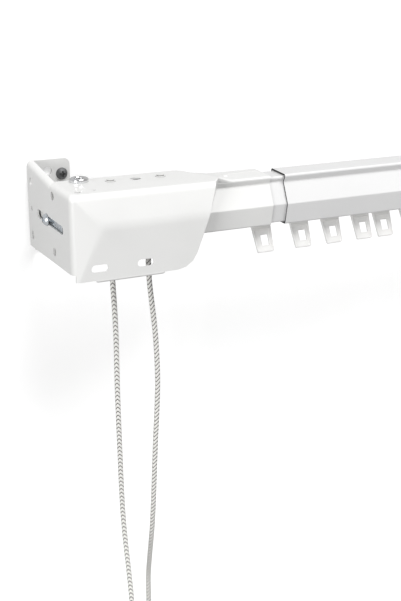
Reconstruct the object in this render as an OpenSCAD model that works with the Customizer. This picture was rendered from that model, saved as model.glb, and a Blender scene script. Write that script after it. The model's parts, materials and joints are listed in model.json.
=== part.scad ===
// Corded curtain track: a telescoping cord-draw traverse rod on two wall brackets.
// Millimetres. +X runs along the rail, the room is on -Y, the wall on +Y, and +Z is up.
// The origin is the centre of the left bracket's wall face.

/* [Track] */
// Overall length of the closed track
track_len = 762; // [730:1:900]
// Travel of the telescope
extend_len = 457; // [300:1:500]
// Overlap of the two rails when fully pulled out
overlap_len = 86; // [60:1:120]
// Length of the inner rail held in the left neck
inner_seat = 34; // [30:1:40]
// Length of the outer rail held in the right neck
outer_seat = 46; // [42:1:48]
// Bare inner rail between the neck and the outer rail
rail_reveal = 8.8; // [4:0.1:20]

/* [Rail section] */
// Sheet thickness of the rails
rail_t = 0.8; // [0.6:0.1:1]
// Running gap between the two rails
rail_gap = 0.4; // [0.3:0.05:0.5]
// Gap between a neck and the rail that it holds
seat_gap = 0.1; // [0.05:0.05:0.2]
// Outer bend radius of the rails
rail_bend_r = 1.2; // [1:0.1:1.4]
// Distance of the rail's back edge from the wall
rail_back = 50; // [49:0.5:52]
// Height of the rail's top over the bracket's centre
rail_top = 19.3; // [19:0.1:19.6]
// Height of the rail
rail_h = 28.4; // [28:0.1:29]
// Fall of the rail's top towards its front
rail_fall = 0.7; // [0:0.1:1]
// Depth of the undercut's foot below the rail's top
rail_ridge_h = 5; // [4.8:0.1:5.4]
// Depth of the undercut below the ridge
rail_undercut = 2.3; // [2:0.1:2.6]
// Drop from the top to the crease of the front
rail_crease_down = 16.5; // [15.6:0.1:17]
// How far the crease stands in front of the ridge
rail_crease_out = 3; // [2.6:0.1:3.4]
// How far the lower edge stands in front of the ridge
rail_low_out = 0.5; // [0.2:0.1:0.8]
// Length of the turned-down lip at the back of the top
rail_top_lip = 4; // [3.5:0.1:4.5]
// Depth of the rail's top, front to back
rail_top_depth = 16.7; // [16.2:0.1:17.2]
// Height of the lip that the carriers hang on
rail_low_lip = 3.9; // [3.6:0.1:4.2]
// Depth of the rail's bottom flange
rail_low_depth = 9; // [8.6:0.1:9.4]

/* [End housing] */
// Sheet thickness of the housing
box_t = 1; // [0.8:0.1:1.2]
// Top face of the housing over the bracket's centre
box_top = 20.8; // [20.5:0.1:21.2]
// Lower edge of the housing's front under the bracket's centre
box_low = 24.4; // [23:0.1:26]
// Distance of the front's upper and lower edges from the wall
front_y = 75; // [74:0.5:77]
// How far the crown stands proud of the front's edges
crown_out = 3; // [1:0.1:4]
// Height of the crown crease
crown_z = 4.4; // [2:0.1:7]
// Where the crown starts, from the side
crown_x = 15; // [10:0.5:20]
// Width of the front at its mid height
front_w = 74; // [72:0.5:76]
// Lean of the front's right edge, in millimetres per millimetre of height
edge_lean = 0.31; // [0.2:0.01:0.4]
// Width of the sloping step from the front to the neck
step_w = 6; // [5:0.5:9]
// Depth of the sloping step
step_depth = 9; // [8:0.5:9.5]
// Radius of the crown's creases
crease_r = 20; // [10:1:24]
// Radius of the upper edges
box_edge_r = 3.5; // [2:0.1:3.6]
// Radius of the upright corner between front and side
box_corner_r = 4; // [3:0.1:6]
// Radius of the front's lower right corner
box_low_r = 8; // [4:0.5:9]
// Distance of the top's back edge from the wall
box_rear = 39; // [37:0.5:41]
// Radius of the top's back right corner
box_rear_r = 8; // [6:0.5:14]
// Length of the neck, from the housing's side to its end
neck_end = 118; // [110:0.5:124]
// How far the neck's top reaches behind the rail
tongue_w = 3.5; // [2:0.1:5]

/* [Side return] */
// Height of the side return's flat above and below the bracket's centre
side_half = 20.6; // [20:0.1:21]
// Height of the side return's upper corner at the wall
side_peak = 25.9; // [24:0.1:27]
// Diameter of the side holes
side_hole_d = 4.5; // [3:0.1:5]
// Distance of the side holes from the centre line
side_hole_z = 15; // [13:0.5:16]
// Distance of the adjusting slot's back end from the wall
slot_back = 18; // [16:0.5:20]
// Length of the adjusting slot
slot_len = 44; // [40:0.5:46]
// Height of the adjusting slot
slot_h = 4.6; // [4.6:0.1:5.4]

/* [Wall bracket] */
// Sheet thickness of the bracket
bracket_t = 1.5; // [1.2:0.1:2]
// Width of the wall flange, from the arm's outer face
flange_w = 22.8; // [22:0.2:28]
// Inner radius of the bend between arm and flange
bracket_bend_r = 1.5; // [1:0.1:2]
// Height of the wall flange
flange_h = 50; // [48:0.5:56]
// Radius of the flange's corners
flange_r = 3; // [2:0.5:5]
// Height of the bracket's arm
arm_h = 36; // [34:0.5:37]
// Length of the bracket's arm
arm_len = 66; // [62:0.5:70]
// Diameter of the screw holes in the flange
screw_hole_d = 4.6; // [4.4:0.1:5]
// Diameter of the wall screws
screw_d = 4; // [3.5:0.1:4]
// Diameter of the screw heads
screw_head_d = 6.8; // [6.4:0.1:7.6]
// Height of the screw heads
screw_head_h = 2.3; // [1.8:0.1:2.8]
// Distance of the clamp screw from the wall
clamp_y = 35; // [34:0.5:38]
// Thickness of the zinc clamp strip
strip_t = 0.8; // [0.6:0.1:1]
// Sliding gap between bracket and housing
slide_gap = 0.3; // [0.2:0.05:0.4]

/* [Carriers] */
// Width of a carrier's tail where it leaves the rail
tail_w = 12; // [11:0.1:12.4]
// Narrowing of the tail on each side
tail_taper = 1; // [0:0.1:1.5]
// Length of the leaning tail
tail_len = 15.8; // [14.8:0.1:17]
// Forward lean of the tail in degrees
tail_lean = 27; // [10:1:28]
// Thickness of a carrier's walls
carrier_t = 1.6; // [1.4:0.1:2]
// Gap between a carrier and the rail
carrier_gap = 0.4; // [0.3:0.05:0.5]
// Width of the hook eye
eye_w = 4.6; // [4.4:0.1:5]
// Height of the hook eye
eye_h = 6; // [5.8:0.1:6.4]
// Length of a master carrier
master_len = 40; // [36:1:44]

/* [Cord and pulleys] */
// Diameter of the cord
cord_d = 3; // [2.5:0.1:3]
// Distance of the cord from the wall
cord_y = 60; // [59.5:0.1:60.5]
// Height of the upper run of cord in the rail
run_high = 12; // [11.5:0.1:12]
// Height of the lower run of cord in the rail
run_low = 2; // [1.8:0.1:2.5]
// Radius of the cord round the two end pulleys
pulley_r = 8; // [7.5:0.1:8]
// Width of the pulleys
pulley_w = 6.4; // [5.6:0.1:6.6]
// Gap between cord and pulley groove
groove_gap = 0.3; // [0.2:0.05:0.4]
// Side gap between pulley and cheek
cheek_gap = 0.4; // [0.3:0.05:0.6]
// Thickness of a pulley block's cheeks
cheek_t = 2.4; // [2:0.1:3]
// Diameter of the pulley axles
axle_d = 4; // [3:0.1:4]
// Radial running clearance on the axles
axle_gap = 0.05; // [0.03:0.01:0.08]

/* [Hank] */
// Length of the straight runs of the hank
hank_run = 46; // [45:1:60]
// Radius of the inmost fold
hank_r = 9; // [9:0.5:12]
// Step from one loop to the next
hank_step = 4.4; // [4.4:0.1:5]
// Step from one layer to the next
hank_layer = 3.6; // [3.6:0.1:4.2]
// Loops in each of the four layers
hank_loops = 3; // [2:1:3]
// Share of its width that the hank keeps at its waist
hank_waist = 0.8; // [0.8:0.01:1]

/* [Hidden] */
$fn = 48;
eps = 0.02;
side_gap_x = box_t + slide_gap;
arm_x = side_gap_x + strip_t + eps;
end_x = -arm_x - flange_w / 2;
side_rear = bracket_t + slide_gap;

// Carrier stations, each from the outer face of its own end's side return
left_stations = [116.6, 140.9, 161.5, 182, 196.8, 216];
right_stations = [132, 153, 172, 190, 209, 228];
master_pitch = 46;

// Pulley centres, from the outer face of the side return
drop_left_x = 26.6;
drop_right_x = 47.4;
pulley_a = [drop_left_x + pulley_r, run_high - pulley_r];
pulley_b = [drop_right_x + pulley_r, run_low - pulley_r];
return_r = (run_high - run_low) / 2;
return_x = 40;
return_z = (run_high + run_low) / 2;
rivet_x = [30.8, 59.2];
rivet_y = 50;
rivet_d = 4;
rivet_head_d = 6;
rivet_head_h = 0.8;
rivet_tail_d = 5.4;
rivet_tail_h = 1;

// The hank: 24 rings to a loop, six to each fold and six to each run, in four layers
rings = 24;
fold_rings = 6;
layers = 4;
lead_rings = 2;
lead_clear = 6;
lead_len = 12;
ring_step = hank_step / rings;
last_steps = rings * hank_loops - fold_rings;
hank_near_r = hank_r - ring_step * fold_rings;
hank_far_r = hank_r + ring_step * (rings * hank_loops - fold_rings);
hank_end_r = hank_far_r - ring_step * (last_steps - fold_rings);
hank_x = 37.6;
hank_z = -284;
hank_top_z = hank_z + hank_run / 2 + hank_far_r + lead_len;
strand_y = hank_layer * (layers + 1) / 2;

// Free cord routes, chosen points from inside the housing down to the hank
cord_start_z = -18;
left_route = [
    [26.6, -60, cord_start_z], [26.6, -60, -24], [26.8, -60, -32], [27.4, -60, -46], [27.8, -60, -62],
    [27.8, -60, -78], [27.8, -60, -94], [28, -60, -112], [28.3, -60, -132], [28.6, -60, -152],
    [28.9, -60.6, -170], [29.3, -62.6, -188], [29.6, -66, -206],
    [hank_x - hank_near_r, -cord_y - strand_y, hank_top_z + cord_d],
    [hank_x - hank_near_r, -cord_y - strand_y, hank_top_z]
];
right_route = [
    [47.4, -60, cord_start_z], [47.4, -60, -24], [47.8, -60, -34], [49.2, -60, -48], [50.6, -60, -62],
    [51.5, -60, -78], [51.8, -60, -92], [51.2, -60, -108], [50, -60, -128], [49, -60, -148],
    [48.3, -59.4, -168], [47.9, -57.4, -188], [47.7, -54, -206],
    [hank_x + hank_end_r, -cord_y + strand_y, hank_top_z + cord_d],
    [hank_x + hank_end_r, -cord_y + strand_y, hank_top_z]
];

// Plane geometry of folded sheet
function unit(v) = v / norm(v);
function left_of(v) = [-v[1], v[0]];
function turn_of(a, b) = a[0] * b[1] - a[1] * b[0];

// An open path moved sideways to its left, with mitred corners
function shifted(path, d) = [
    for (i = [0:len(path) - 1])
        let (
            before = i == 0 ? unit(path[1] - path[0]) : unit(path[i] - path[i - 1]),
            after = i == len(path) - 1 ? before : unit(path[i + 1] - path[i]),
            normal = unit(left_of(before) + left_of(after))
        )
        path[i] + normal * d / (normal * left_of(before))
];

// The points of one bend of radius r at corner q
function bend(p, q, s, r, steps) =
    let (
        a = unit(q - p),
        b = unit(s - q),
        side = sign(turn_of(a, b)),
        angle = acos(max(-1, min(1, a * b))),
        start = q - a * r * tan(angle / 2),
        centre = start + left_of(a) * side * r,
        arm = start - centre
    )
    [for (k = [0:steps])
        let (t = side * angle * k / steps)
        centre + [arm[0] * cos(t) - arm[1] * sin(t), arm[0] * sin(t) + arm[1] * cos(t)]];

// A path with every inner corner bent; left-hand bends tighten by d, the depth inside the sheet
function bent(path, r, d, steps = 4) = concat(
    [path[0]],
    [for (i = [1:len(path) - 2])
        each let (left = turn_of(path[i] - path[i - 1], path[i + 1] - path[i]) > 0)
            bend(path[i - 1], path[i], path[i + 1], left ? r - d : r + d, steps)],
    [path[len(path) - 1]]
);

function reversed(list) = [for (i = [len(list) - 1:-1:0]) list[i]];

// A closed outline with every corner rounded
function rounded(outline, r, steps = 4) = [
    for (i = [0:len(outline) - 1])
        each bend(outline[(i + len(outline) - 1) % len(outline)], outline[i],
                  outline[(i + 1) % len(outline)], r, steps)
];

ridge_y = -rail_back - rail_top_depth;
rail_floor = rail_top - rail_h;
lip_y = ridge_y - rail_low_out + rail_low_depth;
lip_top = rail_floor + rail_low_lip;

// Outer line of the outer rail, from the back lip over the top and down the front
rail_line = [
    [-rail_back, rail_top - rail_top_lip],
    [-rail_back, rail_top],
    [ridge_y, rail_top - rail_fall],
    [ridge_y + rail_undercut, rail_top - rail_ridge_h],
    [ridge_y - rail_crease_out, rail_top - rail_crease_down],
    [ridge_y - rail_low_out, rail_floor],
    [lip_y, rail_floor],
    [lip_y, lip_top]
];

// Outer face of a folded sheet that lies d inside the rail line, and the inner face of the same sheet
function sheet_outside(d) = bent(shifted(rail_line, d), rail_bend_r, 0);
function sheet_inside(d) = bent(shifted(rail_line, d + rail_t), rail_bend_r, rail_t);

// Folded sheet between those faces
module rail_sheet(d) {
    polygon(concat(sheet_outside(d), reversed(sheet_inside(d))));
}

// Extrudes a (y, z) outline along X between two stations
module along_x(from, to) {
    translate([from, 0, 0])
        rotate([90, 0, 90])
            linear_extrude(to - from)
                children();
}

module at_left() {
    translate([end_x, 0, 0]) children();
}

module at_right() {
    translate([end_x + track_len, 0, 0]) mirror([1, 0, 0]) children();
}

// Sizes of the two necks and the rails, as distances inside the rail line
neck_left_d = rail_gap - seat_gap;
neck_right_d = -seat_gap - rail_t;
inner_rail_d = rail_t + rail_gap;
inner_rail_from = neck_end - inner_seat;
inner_rail_to = neck_end + rail_reveal + extend_len + overlap_len;
outer_rail_from = neck_end + rail_reveal;
outer_rail_to = track_len - neck_end + outer_seat;

module inner_rail() {
    color("white") at_left() along_x(inner_rail_from, inner_rail_to) rail_sheet(inner_rail_d);
}

module outer_rail() {
    color("white") at_left() along_x(outer_rail_from, outer_rail_to) rail_sheet(0);
}

// Places and sizes of the housing's holes, slots and lip
slice_t = 0.01;
step_set = 3.5;
hem_root = 1;
ramp_len = 8;
ramp_h = 2;
side_drop = 2;
low_set = 2;
edge_return = 1.5;
tongue_r = 3;
lip_r = 1.3;
lip_len = 36;
lip_sink = 0.08;
front_slot_x = [14.3, 39.5];
front_slot_z = -17.8;
front_slot_len = 9;
front_slot_h = 4;
side_hole_y = [8, 46];
side_pip_d = 2.6;
eyelet_at = [15.5, -44.5];
eyelet_hole_d = 6.6;
top_hole_at = [45, -50];
top_hole_d = 5.6;
pip_at = [95, -55.6];
pip_d = [3.4, 2.4];
pip_h = 0.3;
corner_hole_at = [6.5, -67.5];
corner_hole_d = 3.4;
dimple_at = [16, -66];
dimple_d = 2;

// Plan of the housing at one level: front line f, corner line c, left edge l and right edge x
function box_plan(f, c, l, x, inset, rear, crowned) =
    let (
        left = l + inset,
        back = x - step_set - inset,
        corner = [left, -c + inset],
        crown = [crown_x, -f + inset],
        edge = [x - inset, -f + inset]
    )
    concat(
        [[left, -rear]],
        bend([left, -rear], corner, [crown_x, -c + inset], box_corner_r - inset, 4),
        crowned ? bend(corner + [box_corner_r, 0], crown, edge, crease_r, 3) : [],
        [edge, [x + step_w - inset, -front_y + step_depth], [back, -box_rear - box_rear_r]],
        inset > 0 ? [[back, -rear]]
                  : bend([back, -box_rear - box_rear_r], [back, -rear], [0, -rear], box_rear_r, 6)
    );

function front_at(z) = front_y + crown_out * (z > crown_z ? (box_top - z) / (box_top - crown_z)
                                                          : (z + box_low) / (crown_z + box_low));
function edge_at(z) = front_w + edge_lean * z;

module box_slice(z, f, c, l, x, inset, rear, crowned = false) {
    translate([0, 0, z])
        linear_extrude(slice_t)
            polygon(box_plan(f, c, l, x, inset, rear, crowned));
}

// The housing's body as one convex form, or its hollow when inset
module box_form(inset, rear) {
    r = box_edge_r - inset;
    crown = bend([front_y, box_top], [front_y + crown_out, crown_z], [front_y, -box_low], crease_r, 4);
    hull() {
        for (a = [0, 30, 60, 90]) {
            z = box_top - box_edge_r + r * sin(a) - slice_t;
            in = r * (1 - cos(a));
            box_slice(z, front_at(box_top - box_edge_r) - in, front_y - in, in, edge_at(z), inset, rear);
        }
        for (p = crown)
            box_slice(p[1], p[0], front_y, 0, edge_at(p[1]), inset, rear, true);
        for (a = [0, 30, 60, 90]) {
            z = -box_low + box_low_r * (1 - cos(a));
            box_slice(z, front_at(z), front_y, 0, edge_at(z) - box_low_r * (1 - sin(a)), inset, rear);
        }
        if (inset > 0)
            box_slice(-box_low - 2 * box_t, front_at(-box_low), front_y, 0,
                      edge_at(-box_low) - box_low_r, inset, rear);
    }
}

// Obround through a wall, with its length along X
module obround_x(len, h, depth) {
    for (s = [-1, 1])
        translate([s * (len - h) / 2, 0, 0]) cylinder(d = h, h = depth, center = true);
    cube([len - h, h, depth], center = true);
}

// Flat of the side return, up to the line where its hem starts to curl
module side_plate() {
    rotate([90, 0, 90])
        linear_extrude(box_t)
            polygon([
                [-side_rear, -side_half - side_drop], [-side_rear, side_peak - box_edge_r],
                [-box_rear, box_top - box_edge_r], [-front_y + box_corner_r, box_top - box_edge_r],
                [-front_y + box_corner_r, -side_half]
            ]);
}

// Thin slice of the curled hem whose highest point is at height z
module hem_slice(y, z) {
    arc = [for (a = [0:15:90]) [box_edge_r * (1 - cos(a)), z - box_edge_r * (1 - sin(a))]];
    translate([0, -y, 0])
        rotate([90, 0, 0])
            linear_extrude(slice_t)
                polygon(concat(arc, [[box_edge_r, z - box_t], [box_t, z - box_edge_r],
                                     [box_t, z - box_edge_r - hem_root], [0, z - box_edge_r - hem_root]]));
}

// Hem that curls inwards from the wall corner to the top's back edge
module side_hem() {
    hull() {
        hem_slice(side_rear, side_peak);
        hem_slice(box_rear + box_t, box_top);
    }
}

// Ramp from the housing's top down to the neck's top, for a neck d inside the rail line
module top_ramp(d) {
    far = edge_at(box_top) + step_w;
    near = edge_at(box_top) - step_set;
    hull() {
        translate([0, 0, box_top - box_t])
            linear_extrude(box_t)
                polygon([[far, -front_y + step_depth], [near, -box_rear - box_rear_r],
                         [near, -front_y + step_depth]]);
        along_x(far + ramp_len, far + ramp_len + slice_t)
            polygon([for (p = sheet_outside(d)) if (p[1] > rail_top - d - ramp_h) p]);
    }
}

// Tongue of the neck's top that reaches behind the rail, with a round corner at the neck's end
module neck_tongue(d) {
    from = edge_at(0) - step_set;
    back = -rail_back + tongue_w;
    front = -rail_back - 2 * rail_bend_r;
    translate([0, 0, rail_top - d - rail_t])
        linear_extrude(rail_t)
            polygon(concat([[from, front], [from, back]],
                           bend([from, back], [neck_end, back], [neck_end, front], tongue_r, 4),
                           [[neck_end, front]]));
}

// Locating pip pressed up in the neck's top
module neck_pip(d) {
    translate([pip_at[0], pip_at[1], rail_top - d - rail_t / 2])
        cylinder(d1 = pip_d[0], d2 = pip_d[1], h = rail_t / 2 + pip_h);
}

// Lower edge of the front curled into a round bead
module lip_bead() {
    translate([crown_x - lip_r, -front_at(-box_low) + lip_r - lip_sink, -box_low]) {
        rotate([0, 90, 0]) cylinder(r = lip_r, h = lip_len, $fn = 24);
        for (x = [0, lip_len])
            translate([x, 0, 0]) sphere(r = lip_r, $fn = 24);
    }
}

// A hole along Z through the housing's top
module top_hole(at, d) {
    translate([at[0], at[1], box_top]) cylinder(d = d, h = 6 * box_t, center = true);
}

// A hole along X through the side return
module side_hole(y, z, d) {
    translate([0, -y, z]) rotate([0, 90, 0]) cylinder(d = d, h = 3 * box_t, center = true);
}

// One end housing in the left-hand pose, with its neck d inside the rail line
module housing(d) {
    difference() {
        union() {
            difference() {
                box_form(0, box_rear);
                box_form(box_t, -side_rear);
                translate([-eps, -front_y - crown_out, -box_low - eps])
                    cube([low_set, front_y + crown_out, box_low - side_half + eps]);
                translate([edge_at(-box_low) - 2 * box_low_r, -front_y + edge_return, -box_low - eps])
                    cube([4 * box_low_r, front_y, box_low + rail_floor + d - box_t + eps]);
            }
            side_plate();
            side_hem();
            top_ramp(d);
            neck_tongue(d);
            neck_pip(d);
            along_x(edge_at(0) + 2 * box_t, neck_end) rail_sheet(d);
            lip_bead();
        }
        along_x(edge_at(0) - step_w, neck_end + eps) polygon(sheet_inside(d));
        along_x(edge_at(0) - step_w, inner_rail_from + inner_seat / 2)
            translate([ridge_y, rail_floor + d + rail_t]) square([rail_back, crown_z - rail_floor]);
        for (x = front_slot_x)
            translate([x, -front_y, front_slot_z])
                rotate([90, 0, 0]) obround_x(front_slot_len, front_slot_h, 12 * box_t);
        for (y = side_hole_y, z = [-side_hole_z, side_hole_z])
            side_hole(y, z, side_hole_d);
        side_hole(side_hole_y[0], 0, side_pip_d);
        translate([0, -slot_back - slot_len / 2, 0])
            rotate([0, 90, 0]) rotate([0, 0, 90]) obround_x(slot_len, slot_h, 3 * box_t);
        top_hole(eyelet_at, eyelet_hole_d);
        top_hole(top_hole_at, top_hole_d);
        top_hole(corner_hole_at, corner_hole_d);
        top_hole(dimple_at, dimple_d);
        for (x = rivet_x)
            top_hole([x, -rivet_y], rivet_d + 2 * axle_gap);
    }
}

module housing_left() {
    color("white") at_left() housing(neck_left_d);
}

module housing_right() {
    color("white") at_right() housing(neck_right_d);
}

// Rolled eyelet in the housing's top
eyelet_wall = 0.55;
eyelet_depth = 2.2;
eyelet_roll_r = 1.15;

module eyelet() {
    barrel = eyelet_hole_d / 2 - eyelet_wall - axle_gap;
    roll = barrel + eyelet_roll_r;
    translate([eyelet_at[0], eyelet_at[1], box_top + eps])
        rotate_extrude() {
            translate([barrel, -eyelet_depth]) square([eyelet_wall, eyelet_depth + eyelet_roll_r]);
            translate([roll, eyelet_roll_r]) circle(r = eyelet_roll_r, $fn = 32);
            translate([roll, 0]) square([eyelet_roll_r, eyelet_roll_r]);
        }
}

module eyelet_left() {
    color("silver") at_left() eyelet();
}

module eyelet_right() {
    color("silver") at_right() eyelet();
}

// Pulley block: a plate under the housing's top with two cheeks that hold the axles
plate_top = box_top - box_t - seat_gap;
plate_low = 15.2;
plate_x = [22, 68];
plate_y = [-66.5, -44];
cheek_r = 6.5;
cheek_front = -cord_y - pulley_w / 2 - cheek_gap;
cheek_rear = -cord_y + pulley_w / 2 + cheek_gap;

module cheek_outline(centres, r) {
    hull() {
        for (c = centres)
            translate(c) circle(r = r, $fn = 32);
        for (c = centres)
            translate([c[0] - r, plate_low]) square([2 * r, plate_top - plate_low]);
    }
}

module pulley_block(centres, r) {
    difference() {
        union() {
            translate([plate_x[0], plate_y[0], plate_low])
                cube([plate_x[1] - plate_x[0], plate_y[1] - plate_y[0], plate_top - plate_low]);
            for (y = [cheek_front, cheek_rear + cheek_t])
                translate([0, y, 0]) rotate([90, 0, 0]) linear_extrude(cheek_t) cheek_outline(centres, r);
        }
        for (c = centres)
            translate([c[0], -cord_y, c[1]])
                rotate([90, 0, 0])
                    cylinder(d = axle_d + 2 * axle_gap, h = 4 * pulley_w, center = true);
        for (x = rivet_x)
            translate([x, -rivet_y, 0]) cylinder(d = rivet_d + 2 * axle_gap, h = 2 * box_top);
    }
}

module pulley_block_left() {
    color("whitesmoke") at_left() pulley_block([pulley_a, pulley_b], cheek_r);
}

module pulley_block_right() {
    color("whitesmoke") at_right() pulley_block([[return_x, return_z]], cheek_r);
}

// Rivets that hold a pulley block under the top: domed heads above, upset tails below
module block_rivets() {
    dome_r = (pow(rivet_head_d / 2, 2) + pow(rivet_head_h, 2)) / (2 * rivet_head_h);
    for (x = rivet_x)
        translate([x, -rivet_y, 0]) {
            intersection() {
                translate([0, 0, box_top + rivet_head_h - dome_r]) sphere(r = dome_r);
                translate([0, 0, box_top + eps]) cylinder(d = rivet_head_d, h = 2 * rivet_head_h);
            }
            translate([0, 0, plate_low - rivet_tail_h])
                cylinder(d = rivet_d, h = box_top - plate_low + 2 * rivet_tail_h);
            translate([0, 0, plate_low - rivet_tail_h - eps]) cylinder(d = rivet_tail_d, h = rivet_tail_h);
        }
}

module block_rivets_left() {
    color("white") at_left() block_rivets();
}

module block_rivets_right() {
    color("white") at_right() block_rivets();
}

// A pulley's axle pin with a flat head outside the front cheek
axle_end = 0.9;
axle_head_d = axle_d + 2;

module axle(c) {
    front = cheek_front - cheek_t;
    rear = cheek_rear + cheek_t;
    translate([c[0], 0, c[1]])
        rotate([90, 0, 0]) {
            translate([0, 0, -rear - axle_end]) cylinder(d = axle_d, h = rear - front + 2 * axle_end);
            translate([0, 0, -front + eps]) cylinder(d = axle_head_d, h = axle_end);
        }
}

module pulley_axles_left() {
    color("silver") at_left() {
        axle(pulley_a);
        axle(pulley_b);
    }
}

module pulley_axle_right() {
    color("silver") at_right() axle([return_x, return_z]);
}

// A grooved pulley for a cord whose centre runs at radius r
module pulley(c, r) {
    groove = cord_d / 2 + groove_gap;
    translate([c[0], -cord_y, c[1]])
        rotate([90, 0, 0])
            rotate_extrude()
                difference() {
                    translate([axle_d / 2 + axle_gap, -pulley_w / 2])
                        square([r + groove - axle_d / 2 - axle_gap, pulley_w]);
                    translate([r, 0]) circle(r = groove, $fn = 32);
                    translate([r, -groove]) square([2 * groove, 2 * groove]);
                }
}

module draw_pulley_a() {
    color("gainsboro") at_left() pulley(pulley_a, pulley_r);
}

module draw_pulley_b() {
    color("gainsboro") at_left() pulley(pulley_b, pulley_r);
}

module return_pulley() {
    color("gainsboro") at_right() pulley([return_x, return_z], return_r);
}

// L-shaped wall bracket: a flange on the wall, bent into an arm inside the side return
flange_hole = [12.1, 18.5];
flange_screw = [20.1, 16.5];
arm_notch_w = 6;
arm_chamfer = 6;
heel_len = side_hole_y[0] - arm_notch_w / 2;
ear_relief = 1;

// Plan of the bent sheet, in (x, y), with a leg along the arm
module bracket_bend(leg) {
    fold = [[arm_x, -leg], [arm_x, 0], [arm_x + flange_w / 2, 0]];
    r = bracket_bend_r + bracket_t;
    polygon(concat(bent(fold, r, 0), reversed(bent(shifted(fold, -bracket_t), r, -bracket_t))));
}

// Round hole along Y through the flange
module flange_cut(at, s) {
    translate([at[0], 0, s * at[1]])
        rotate([90, 0, 0]) cylinder(d = screw_hole_d, h = 4 * bracket_t, center = true);
}

// Round-ended notch in the arm's upper or lower edge, behind a side hole
module arm_notch(y, s) {
    translate([arm_x, -y, s * side_hole_z]) {
        rotate([0, 90, 0]) cylinder(d = arm_notch_w, h = 4 * bracket_t, center = true);
        translate([0, 0, s * arm_h / 4]) cube([4 * bracket_t, arm_notch_w, arm_h / 2], center = true);
    }
}

module bracket() {
    bend = bracket_bend_r + bracket_t;
    difference() {
        union() {
            translate([0, 0, -arm_h / 2]) linear_extrude(arm_h) bracket_bend(arm_len / 2);
            translate([0, 0, -flange_h / 2]) linear_extrude(flange_h / 2) bracket_bend(heel_len);
            translate([arm_x, -bracket_t, arm_h / 2 + ear_relief])
                cube([bend + flange_r, bracket_t, (flange_h - arm_h) / 2 - ear_relief]);
            rotate([90, 0, 0])
                linear_extrude(bracket_t)
                    polygon(rounded([[arm_x + bend, -flange_h / 2], [arm_x + flange_w, -flange_h / 2],
                                     [arm_x + flange_w, flange_h / 2], [arm_x + bend, flange_h / 2]],
                                    flange_r));
            translate([arm_x, 0, 0])
                rotate([90, 0, 90])
                    linear_extrude(bracket_t)
                        polygon([[-bend, -arm_h / 2], [-bend, arm_h / 2],
                                 [-arm_len + arm_chamfer, arm_h / 2], [-arm_len, arm_h / 2 - arm_chamfer],
                                 [-arm_len, -arm_h / 2 + arm_chamfer], [-arm_len + arm_chamfer, -arm_h / 2]]);
        }
        for (s = [-1, 1]) {
            flange_cut(flange_hole, s);
            flange_cut(flange_screw, s);
            for (y = side_hole_y)
                arm_notch(y, s);
        }
        translate([arm_x, -clamp_y, 0])
            rotate([0, 90, 0]) cylinder(d = screw_d + 2 * axle_gap, h = 4 * bracket_t, center = true);
    }
}

module bracket_left() {
    color("white") at_left() bracket();
}

module bracket_right() {
    color("white") at_right() bracket();
}

// A pan head on the axis Z, with a cross recess
recess_w = 0.9;

module pan_head() {
    r = (pow(screw_head_d / 2, 2) + pow(screw_head_h, 2)) / (2 * screw_head_h);
    difference() {
        intersection() {
            translate([0, 0, screw_head_h - r]) sphere(r = r);
            cylinder(d = screw_head_d, h = 2 * screw_head_h);
        }
        for (a = [0, 90])
            rotate([0, 0, a])
                translate([0, 0, screw_head_h])
                    cube([screw_head_d / 2, recess_w, screw_head_h], center = true);
    }
}

// The two wall screws, cut off level with the wall face
module wall_screws() {
    for (s = [-1, 1])
        translate([flange_screw[0], -bracket_t - eps, s * flange_screw[1]])
            rotate([90, 0, 0]) {
                pan_head();
                translate([0, 0, -bracket_t]) cylinder(d = screw_d, h = bracket_t + screw_head_h / 4);
            }
}

module wall_screws_left() {
    color("dimgray") at_left() wall_screws();
}

module wall_screws_right() {
    color("dimgray") at_right() wall_screws();
}

// Zinc strip on the arm, seen through the slot, with a row of clamp ticks
strip_y = [-63, -27];
strip_h = 9;
tick_pitch = 3;
tick_w = 0.8;

module clamp_strip() {
    difference() {
        translate([side_gap_x, strip_y[0], -strip_h / 2])
            cube([strip_t, strip_y[1] - strip_y[0], strip_h]);
        translate([arm_x, -clamp_y, 0])
            rotate([0, 90, 0]) cylinder(d = screw_d + 2 * axle_gap, h = 4 * strip_t, center = true);
        for (y = [strip_y[0] + tick_pitch:tick_pitch:-clamp_y - screw_d])
            translate([side_gap_x, y, -strip_h / 4]) cube([strip_t, tick_w, strip_h], center = true);
    }
}

module clamp_strip_left() {
    color("lightsteelblue") at_left() clamp_strip();
}

module clamp_strip_right() {
    color("lightsteelblue") at_right() clamp_strip();
}

// Pan-head clamp screw through slot, strip, arm and nut
nut_h = 3.2;
nut_af = 7;
screw_tip = 1;

module clamp_screw() {
    shank = slide_gap + arm_x + bracket_t + nut_h + screw_tip;
    translate([-slide_gap, -clamp_y, 0])
        rotate([0, -90, 0]) {
            pan_head();
            translate([0, 0, -shank]) cylinder(d = screw_d, h = shank + screw_head_h / 4);
        }
}

module clamp_screw_left() {
    color("silver") at_left() clamp_screw();
}

module clamp_screw_right() {
    color("silver") at_right() clamp_screw();
}

module clamp_nut() {
    translate([arm_x + bracket_t + eps, -clamp_y, 0])
        rotate([0, 90, 0])
            difference() {
                cylinder(d = nut_af / cos(30), h = nut_h, $fn = 6);
                translate([0, 0, nut_h / 2])
                    cylinder(d = screw_d + 2 * axle_gap, h = 2 * nut_h, center = true);
            }
}

module clamp_nut_left() {
    color("silver") at_left() clamp_nut();
}

module clamp_nut_right() {
    color("silver") at_right() clamp_nut();
}

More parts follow.
